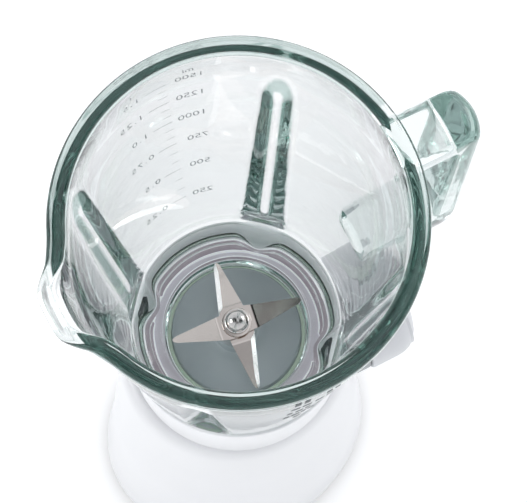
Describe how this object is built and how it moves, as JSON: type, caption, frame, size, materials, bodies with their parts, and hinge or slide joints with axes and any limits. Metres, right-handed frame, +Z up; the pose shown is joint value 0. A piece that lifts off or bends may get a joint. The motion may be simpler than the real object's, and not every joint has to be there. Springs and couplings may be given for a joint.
{
  "type": "countertop blender",
  "caption": "Countertop blender: fluted clear glass jug with pour spout and square loop handle, crossed blades, white screw collar, slim oval motor base with side speed knob.",
  "frame": {"origin": "centre of the whole object's plan box, on the surface that its rubber feet stand on", "axes": "+Z up along the jug and motor axis, which stands 10.5 mm towards -X of the origin; +X towards the jug's handle and the speed knob, -X towards the pour spout"},
  "size_m": [0.1867, 0.148, 0.416],
  "materials": {
    "jug_glass": "clear pressed glass with a faint green tint, polished",
    "white_casing": "white moulded plastic, satin gloss",
    "holder_plate": "blue-grey moulded plastic, semi-gloss",
    "grey_trim": "mid-grey moulded plastic",
    "knob_grey": "pale grey moulded plastic, satin",
    "dark_parts": "dark moulded plastic",
    "black_rubber": "matt black rubber",
    "grey_silicone": "soft grey silicone",
    "blade_steel": "stainless steel, fine satin with ground edges",
    "polished_nut": "mirror-polished stainless steel",
    "plain_steel": "plain zinc-plated steel",
    "motor_iron": "stacked laminations, varnished",
    "winding_copper": "enamelled copper wire",
    "brass_parts": "plain brass or sintered bronze"
  },
  "bodies": {
    "base": {"bottom_plate": "dark_parts", "brush_holder_front": "brass_parts", "brush_holder_rear": "brass_parts", "carbon_brush_front": "dark_parts", "carbon_brush_rear": "dark_parts", "cord_clamp": "dark_parts", "cord_gland": "black_rubber", "field_coil_left": "winding_copper", "field_coil_right": "winding_copper", "foot_1": "black_rubber", "foot_2": "black_rubber", "foot_3": "black_rubber", "foot_4": "black_rubber", "housing_screw_1": "plain_steel", "housing_screw_2": "plain_steel", "housing_screw_3": "plain_steel", "housing_screw_4": "plain_steel", "jug_seat": "grey_trim", "knob_bezel": "grey_trim", "lower_bearing": "plain_steel", "lower_bracket": "plain_steel", "motor_bolt_1": "plain_steel", "motor_bolt_2": "plain_steel", "motor_mount_1": "black_rubber", "motor_mount_2": "black_rubber", "motor_mount_3": "black_rubber", "motor_mount_4": "black_rubber", "motor_stator": "motor_iron", "switch_body": "dark_parts", "terminal_block": "grey_trim", "thermal_cutout": "dark_parts", "upper_bearing": "plain_steel", "upper_bracket": "plain_steel", "upper_housing": "white_casing"},
    "jug": {"glass_jug": "jug_glass", "jug_gasket": "grey_silicone", "blade_holder": "holder_plate", "lower_bush": "brass_parts", "upper_bush": "brass_parts", "shaft_seal": "black_rubber", "jug_collar": "white_casing"},
    "blades": {"blade_shaft": "blade_steel", "shaft_sleeve": "blade_steel", "lower_blade": "blade_steel", "upper_blade": "blade_steel", "blade_washer": "blade_steel", "dome_nut": "polished_nut", "driven_coupling": "grey_trim", "retaining_clip": "plain_steel"},
    "rotor": {"motor_shaft": "plain_steel", "armature_core": "motor_iron", "armature_winding": "winding_copper", "commutator": "winding_copper", "cooling_fan": "dark_parts", "drive_coupling": "dark_parts"},
    "knob": {"speed_knob": "knob_grey", "knob_hub": "plain_steel", "switch_spindle": "plain_steel"}
  },
  "joints": [
    {"name": "jug_lift", "type": "slide", "parent": "base", "child": "jug", "axis": [0, 0, 1], "range_m": [0, 0.08]},
    {"name": "motor_spin", "type": "hinge", "parent": "base", "child": "rotor", "pos_m": [-0.0105, 0, 0.1765], "axis": [0, 0, 1], "continuous": true},
    {"name": "blade_spin", "type": "hinge", "parent": "jug", "child": "blades", "pos_m": [-0.0105, 0, 0.212], "axis": [0, 0, 1], "continuous": true},
    {"name": "knob_turn", "type": "hinge", "parent": "base", "child": "knob", "pos_m": [-0.0105, 0, 0.126], "axis": [1, 0, 0], "range_deg": [-40, 90]}
  ],
  "couplings": [
    {"joint": "blade_spin", "follows": "motor_spin", "ratio": 1}
  ]
}
